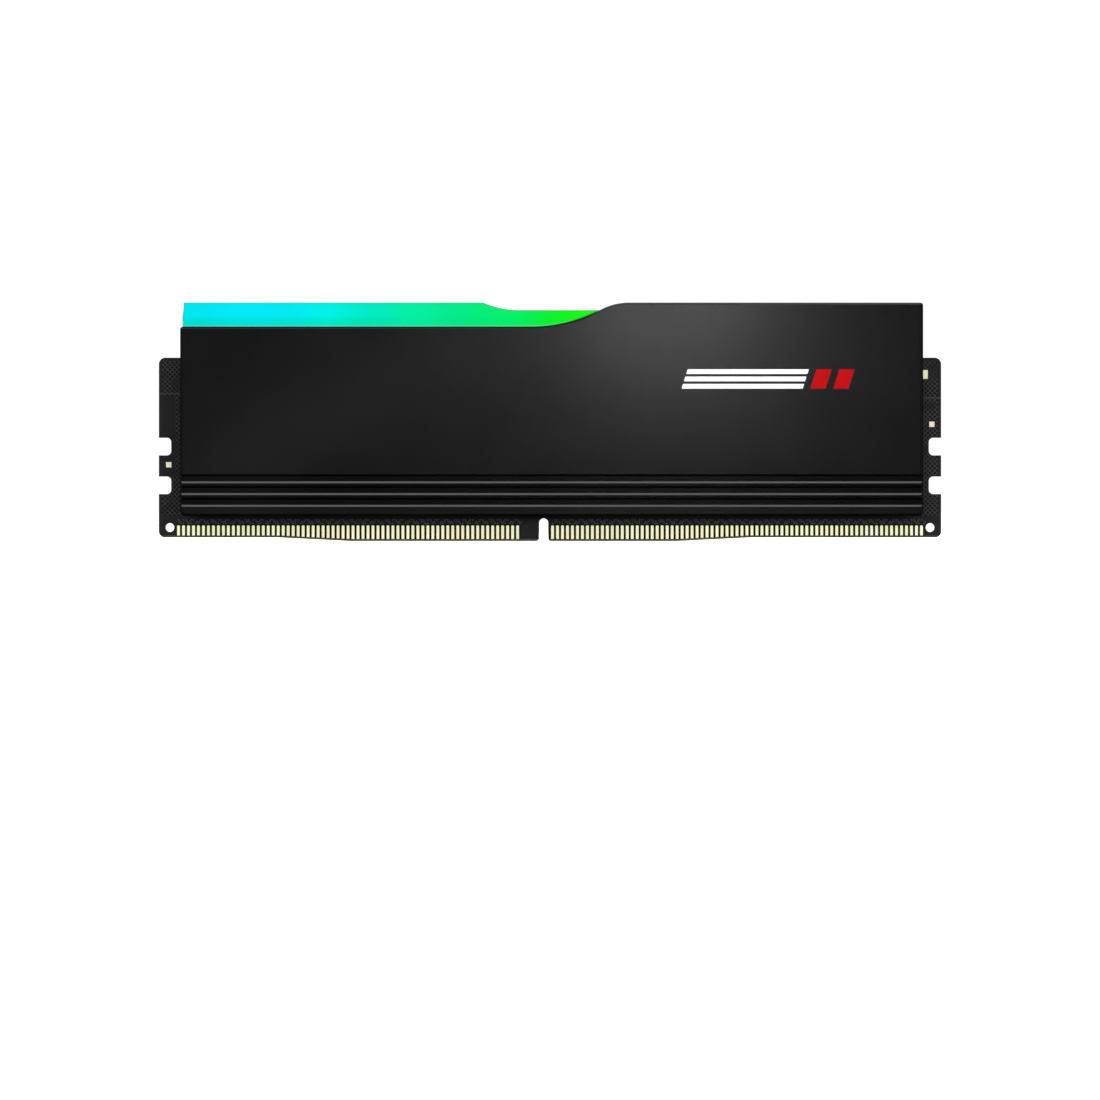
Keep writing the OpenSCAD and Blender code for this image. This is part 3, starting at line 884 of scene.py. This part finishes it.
def build_light_bar():
    """One diffuser: a core between the panels, lips over their low edges, and feet on the board."""
    bm = bmesh.new()
    low, high = box_of("light_bar")
    half = (high.x - low.x) / 2
    low_top_z = high.z - BAR_DROP
    lower, upper = bar_outline(half, shelf_height() + BAR_GAP, low_top_z, high.z)
    lip = lower + upper
    last = len(lower) - 1
    foot_x = sorted([-half, half] + [x + side * LEG_W / 2 for x in LEG_X for side in (-1, 1)])
    foot_y = [-BAR_CORE_Y, -LEG_Y[1], -LEG_Y[0], LEG_Y[0], LEG_Y[1], BAR_CORE_Y]

    def row(points, y):
        return [bm.verts.new((x, y, z)) for x, z in points]

    grid = [[bm.verts.new((x, y, BAR_FOOT_Z)) for x in foot_x] for y in foot_y]
    outlines, steps, ends = [], [], []
    for side in (-1, 1):
        face = row(inset_outline(lip, BAR_BEVEL), side * -low.y)
        outline = row(lip, side * (-low.y - BAR_BEVEL))
        step = row(lower, side * BAR_CORE_Y)
        end = bm.verts.new((half, side * BAR_CORE_Y, low_top_z))
        bm.faces.new(face)
        for i, vert in enumerate(face):
            j = (i + 1) % len(face)
            # The bevel round each face takes the copy with painted edge light.
            bm.faces.new((vert, face[j], outline[j], outline[i])).material_index = 1
        for i in range(last):
            # The lips' undersides take the copy with almost no glow, which is painted shade.
            bm.faces.new((outline[i], outline[i + 1], step[i + 1], step[i])).material_index = 2
        bm.faces.new(step + [end] + (grid[0] if side < 0 else grid[-1])[::-1])
        outlines.append(outline)
        steps.append(step)
        ends.append(end)
    front, rear = outlines
    bm.faces.new((front[last], steps[0][-1], steps[1][-1], rear[last], rear[last + 1], front[last + 1]))
    for i in range(last + 1, len(lip) - 1):
        bm.faces.new((front[i], front[i + 1], rear[i + 1], rear[i]))
    bm.faces.new((front[-1], front[0], steps[0][0], steps[1][0], rear[0], rear[-1]))
    bm.faces.new((steps[0][-1], ends[0], ends[1], steps[1][-1]))
    bm.faces.new([steps[0][0]] + [line[0] for line in grid] + [steps[1][0]])
    bm.faces.new([ends[0]] + [line[-1] for line in grid] + [ends[1]])
    add_underside(bm, grid, low.z)
    lean_lips(bm)
    for vert in bm.verts:
        vert.co.x += (low.x + high.x) / 2
    return bm


# -------- pieces

contact_boxes = solids_of("contacts_front")
gaps = [after[0].x - before[1].x for before, after in zip(contact_boxes, contact_boxes[1:])]
gap_after = gaps.index(max(gaps))
CONTACT_GROUPS = (
    (contact_boxes[0][0].x, contact_boxes[gap_after][1].x),
    (contact_boxes[gap_after + 1][0].x, contact_boxes[-1][1].x),
)

# A grained finish is given by its dark and light tone, grain and patch size, roughness, and depth of relief
mask = solder_mask_finish()
laminate = laminate_finish()
via_mask = grained("tented_via", (60, 58, 62), (79, 77, 81), 0.1, 1.0, (0.35, 0.45), 0.004)
gold = gold_finish()
# Painted shade: a darker copy of the gold on each contact's rim draws a dark outline round it.
gold_rim_shade = grained("gold_rim_shade", (62, 50, 2), (86, 70, 9), 0.05, 1.5, (0.4, 0.5), 0.003)
tin = grained("tin", (150, 152, 155), (188, 190, 192), 0.05, 0.6, (0.3, 0.45), 0.003, Metallic=0.85)
solder = grained("solder", (140, 142, 146), (176, 178, 180), 0.06, 0.4, (0.3, 0.42), 0.002, Metallic=0.9)
moulding = grained("chip_moulding", (34, 34, 36), (48, 48, 50), 0.05, 2.0, (0.5, 0.62), 0.006)
substrate = grained("chip_substrate", (18, 46, 34), (28, 62, 46), 0.08, 1.2, (0.4, 0.5), 0.002)
ferrite = grained("ferrite", (58, 57, 58), (84, 82, 82), 0.06, 0.8, (0.6, 0.75), 0.01)
led_case = grained("led_case", (226, 224, 214), (242, 240, 232), 0.1, 0.8, (0.4, 0.5), 0.002)
ceramic = grained("capacitor_ceramic", (132, 98, 66), (164, 126, 88), 0.05, 0.5, (0.45, 0.6), 0.004)
alumina = grained("alumina", (214, 212, 206), (236, 234, 228), 0.05, 0.5, (0.5, 0.6), 0.003)
resistor_glaze = grained("resistor_glaze", (20, 20, 22), (34, 34, 36), 0.05, 0.5, (0.3, 0.4), 0.002)
silicone = grained("thermal_silicone", (112, 124, 138), (140, 150, 162), 0.12, 3.0, (0.62, 0.78), 0.02)
film = grained("tape_film", (206, 202, 186), (230, 227, 214), 0.1, 3.0, (0.5, 0.65), 0.004, (4, 1, 1))
coating = spreader_finish("spreader_coating", (10, 10, 11), (14, 14, 15), (0.245, 0.26))
# Painted shade: a darker, less shiny copy of the coating on the panels' rounded edges keeps them dark.
coating_edge_shade = spreader_finish("spreader_edge_shade", (6, 6, 7), (9, 9, 10), (0.3, 0.34), 0.2)
# Painted shade: a darker copy of the coating over the grooves and the ribs between them.
coating_groove_shade = spreader_finish("spreader_groove_shade", (2, 2, 3), (4, 4, 5), (0.245, 0.26), 0.38)
white_ink = grained("white_ink", (236, 236, 236), (250, 250, 250), 0.08, 2.0, (0.5, 0.6), 0.002)
red_ink = grained("red_ink", (158, 0, 3), (168, 1, 5), 0.08, 2.0, (0.5, 0.6), 0.002, Specular_IOR_Level=0.2)
diffuser = diffuser_finish("light_diffuser", 0.0)
# The bevels' copy carries painted edge light: a painted highlight low down, painted shade higher up.
diffuser_edge_light = diffuser_finish("diffuser_edge_light", 0.4, 0.93)
# Painted shade: a copy with almost no glow on the lips' undersides.
diffuser_under_shade = diffuser_finish("diffuser_under_shade", 0.3, 0.06)

add_piece("circuit_board", build_board(), [mask, laminate], ["pcb"], bevel=0.03)
add_piece("covered_vias", build_vias(), [via_mask])
for side in ("front", "back"):
    node = f"contacts_{side}"
    add_piece(f"edge_{node}", build_contacts(node), [gold, gold_rim_shade], [node])
add_piece("gold_test_pads", build_test_pads(), [gold], ["test_pads"])

for side in ("front", "back"):
    back = side == "back"
    placing = TURNED if back else None
    for i in range(1, 9):
        node = f"dram_{side}_{i}"
        chip = build_memory_chip(node, back)
        looks = [moulding, substrate, solder]
        add_piece(f"memory_{side}_{i}", chip, looks, [node], placing)
    node = f"decoupling_caps_{side}"
    caps = build_two_ended(solids_of(node, back), 0.24, 0.015)
    add_piece(f"small_capacitors_{side}", caps, [ceramic, tin], [node], placing)
    node = f"thermal_pad_{side}"
    soft_pad = build_thermal_pad(node, back, 0.8)
    add_piece(f"soft_pad_{side}", soft_pad, [silicone], [node], placing)
    node = f"bar_tape_{side}"
    add_piece(f"tape_{side}", build_tape(node, back), [film], [node], placing)

add_piece("power_chip", build_leadless_chip("pmic", (9, 9)), [moulding, tin], ["pmic"])
add_piece("hub_chip", build_leadless_chip("spd_hub", (4, 2)), [moulding, tin], ["spd_hub"])
controller = build_leadless_chip("rgb_controller", (7, 7), True)
add_piece("light_controller", controller, [moulding, tin], ["rgb_controller"], TURNED)
for i in range(1, 4):
    node = f"inductor_{i}"
    add_piece(f"coil_{i}", build_two_ended([box_of(node)], 0.16, 0.02), [ferrite, tin], [node])
bulk = build_two_ended(solids_of("bulk_caps"), 0.22, 0.02)
add_piece("bulk_capacitors", bulk, [ceramic, tin], ["bulk_caps"])
looks = [resistor_glaze, alumina, tin]
add_piece("termination_arrays", build_resistor_arrays(), looks, ["resistor_arrays"])
power_pad = build_thermal_pad("pmic_thermal_pad", False, 0.4)
add_piece("soft_pad_power", power_pad, [silicone], ["pmic_thermal_pad"])

for i in range(1, 9):
    node = f"led_{i}"
    low, high = box_of(node)
    bar_low, bar_high = box_of("light_bar")
    share = ((low.x + high.x) / 2 - bar_low.x) / (bar_high.x - bar_low.x)
    after = next(k for k, (place, _) in enumerate(BAR_COLOURS) if place >= share)
    lens = grained(f"led_lens_{i}", (236, 226, 150), (250, 240, 180), 0.08, 0.6, (0.3, 0.4), 0.002)
    lens.set("Emission Color", linear(BAR_COLOURS[after][1]))
    lens.set("Emission Strength", 2.0)
    add_piece(f"lamp_{i}", build_led(node), [led_case, lens, tin], [node], bevel=0.012)

looks = [diffuser, diffuser_edge_light, diffuser_under_shade]
add_piece("diffuser_bar", build_light_bar(), looks, ["light_bar"], bevel=0.04)
for side, placing in (("front", None), ("back", MIRRORED)):
    looks = [coating, coating_edge_shade, coating_groove_shade]
    add_piece(
        f"panel_{side}", build_spreader(), looks, [f"heat_spreader_{side}"], placing,
        bevel=0.02, edge_material=1,
    )
add_piece("printed_bars", build_print(), [white_ink, red_ink])


# -------- floor, light and camera

FRAME_WIDTH = 187.58
FRAME_CENTRE_Z = -1.535
CAMERA_Z = 6.0
LENS = 400.0
SENSOR = 36.0
WHITE_LEVEL = 1.05
FLOOR_HALF = 8.0
FLOOR_Z = -0.05
FLOOR_FADE_R = (110, 380)
ROOM_LEVEL = 0.015
ROOM_FACING = 0.035
ROOM_ABOVE = 0.3
ROOM_BELOW = 0.1
ROOM_FLOOR = -0.2
CARD_LEVEL = 3.5
CARD_LOW = -0.65


def add_camera():
    """Looks straight at the front face from far off. The shift puts the module where the picture has it."""
    camera = bpy.data.objects.new("camera", bpy.data.cameras.new("camera"))
    camera.data.lens = LENS
    camera.data.sensor_width = SENSOR
    camera.data.shift_y = (FRAME_CENTRE_Z - CAMERA_Z) / FRAME_WIDTH
    camera.data.clip_start = 0.05
    camera.data.clip_end = 50.0
    camera.location = (0, -FRAME_WIDTH * MM * LENS / SENSOR, CAMERA_Z * MM)
    camera.rotation_euler = (math.pi / 2, 0, 0)
    bpy.context.scene.collection.objects.link(camera)
    bpy.context.scene.camera = camera


def add_light(name, place, size, power, target=(0, 0, 20), reflected=True, roll=0):
    """A softbox at place, turned towards target and rolled by so many degrees about that direction.

    The camera doesn't see it, and reflections only if reflected.
    """
    lamp = bpy.data.lights.new(name, "AREA")
    lamp.shape = "RECTANGLE"
    lamp.size, lamp.size_y = size[0] * MM, size[1] * MM
    lamp.energy = power
    holder = bpy.data.objects.new(name, lamp)
    holder.location = Vector(place) * MM
    aim = (Vector(target) - Vector(place)).to_track_quat("-Z", "Y")
    holder.rotation_euler = (aim @ Quaternion((0, 0, 1), math.radians(roll))).to_euler()
    holder.visible_camera = False
    holder.visible_glossy = reflected
    bpy.context.scene.collection.objects.link(holder)


def add_floor():
    """A pale floor, which shows no underside and sends no light up into the grooves."""
    bm = bmesh.new()
    bmesh.ops.create_grid(bm, x_segments=1, y_segments=1, size=FLOOR_HALF)
    mesh = bpy.data.meshes.new("floor")
    bm.to_mesh(mesh)
    bm.free()
    floor = bpy.data.objects.new("floor", mesh)
    floor.location.z = FLOOR_Z * MM
    floor.visible_glossy = False
    floor.visible_diffuse = False
    finish = Finish("floor", Roughness=0.9, Specular_IOR_Level=0.1)
    finish.shader.inputs["Base Color"].default_value = linear((232, 232, 232))
    radius = finish.node("ShaderNodeVectorMath", operation="LENGTH")
    finish.feed(radius.inputs[0], finish.place)
    finish.shader.inputs["Emission Color"].default_value = (1, 1, 1, 1)
    finish.set("Emission Strength", finish.band(radius.outputs["Value"], *FLOOR_FADE_R, 0.5, WHITE_LEVEL))
    output = finish.tree.nodes["Material Output"]
    clear = finish.node("ShaderNodeBsdfTransparent").outputs[0]
    switch = finish.node("ShaderNodeMixShader")
    finish.feed(switch.inputs[0], finish.node("ShaderNodeNewGeometry").outputs["Backfacing"])
    finish.feed(switch.inputs[1], finish.shader.outputs[0])
    finish.feed(switch.inputs[2], clear)
    finish.feed(output.inputs["Surface"], switch.outputs[0])
    mesh.materials.append(finish.material)
    bpy.context.scene.collection.objects.link(floor)


def add_world():
    """White behind the module. The room that lights it is dim.

    It is brighter in front, behind and above, and dark below. Low cards at the four diagonals, seen in
    reflections only, give the panels a sheen from above.
    """
    world = bpy.data.worlds.new("studio")
    bpy.context.scene.world = world
    world.use_nodes = True
    tree = world.node_tree
    background = tree.nodes["Background"]

    def calculate(operation, *values):
        made = tree.nodes.new("ShaderNodeMath")
        made.operation = operation
        for socket, value in zip(made.inputs, values):
            if isinstance(value, bpy.types.NodeSocket):
                tree.links.new(value, socket)
            else:
                socket.default_value = value
        return made.outputs[0]

    split = tree.nodes.new("ShaderNodeSeparateXYZ")
    tree.links.new(tree.nodes.new("ShaderNodeTexCoord").outputs["Generated"], split.inputs[0])
    facing = calculate("POWER", calculate("ABSOLUTE", split.outputs["Y"]), 3.0)
    above = calculate("POWER", calculate("MAXIMUM", split.outputs["Z"], 0.0), 2.0)
    level = calculate("MULTIPLY_ADD", facing, ROOM_FACING, ROOM_LEVEL)
    level = calculate("ADD", level, calculate("MULTIPLY", above, ROOM_ABOVE))
    lit = calculate("GREATER_THAN", split.outputs["Z"], ROOM_FLOOR)
    level = calculate("MULTIPLY", level, calculate("MULTIPLY_ADD", lit, 1 - ROOM_BELOW, ROOM_BELOW))
    rays = tree.nodes.new("ShaderNodeLightPath")
    diagonal = calculate("POWER", calculate("MULTIPLY", split.outputs["X"], split.outputs["Y"]), 2.0)
    low = calculate("MULTIPLY", split.outputs["Z"], -4.0)
    low = calculate("MINIMUM", calculate("MAXIMUM", low, 0.0), 1.0)
    low = calculate("MULTIPLY", low, calculate("GREATER_THAN", split.outputs["Z"], CARD_LOW))
    card = calculate("MULTIPLY", calculate("MULTIPLY", diagonal, CARD_LEVEL), low)
    level = calculate("ADD", level, calculate("MULTIPLY", card, rays.outputs["Is Glossy Ray"]))
    level = calculate("MAXIMUM", level, calculate("MULTIPLY", rays.outputs["Is Camera Ray"], WHITE_LEVEL))
    tree.links.new(level, background.inputs["Strength"])
    background.inputs["Color"].default_value = (1, 1, 1, 1)


add_camera()
add_floor()
add_world()
for side, towards in (("front", 1), ("rear", -1)):
    x = 22.5 * towards
    add_light(f"{side}_key", (x, -190 * towards, 43), (29, 6), 0.0119, (x, 0, 39))
    x = -36 * towards
    add_light(f"{side}_glow", (x, -90 * towards, 25), (64, 4), 0.0007, (x, 0, 25), roll=28)
    add_light(f"{side}_left", (-385, -325 * towards, 60), (290, 320), 3.2, reflected=False)
    add_light(f"{side}_right", (385, -325 * towards, 60), (290, 320), 3.2, reflected=False)
    add_light(f"{side}_above", (0, -290 * towards, 500), (800, 200), 1.9, (0, 0, 8))
add_light("overhead", (0, 0, 520), (700, 260), 0.4, (0, 0, 0))
bpy.context.scene.view_settings.view_transform = "Standard"
bpy.context.scene.view_settings.look = "None"
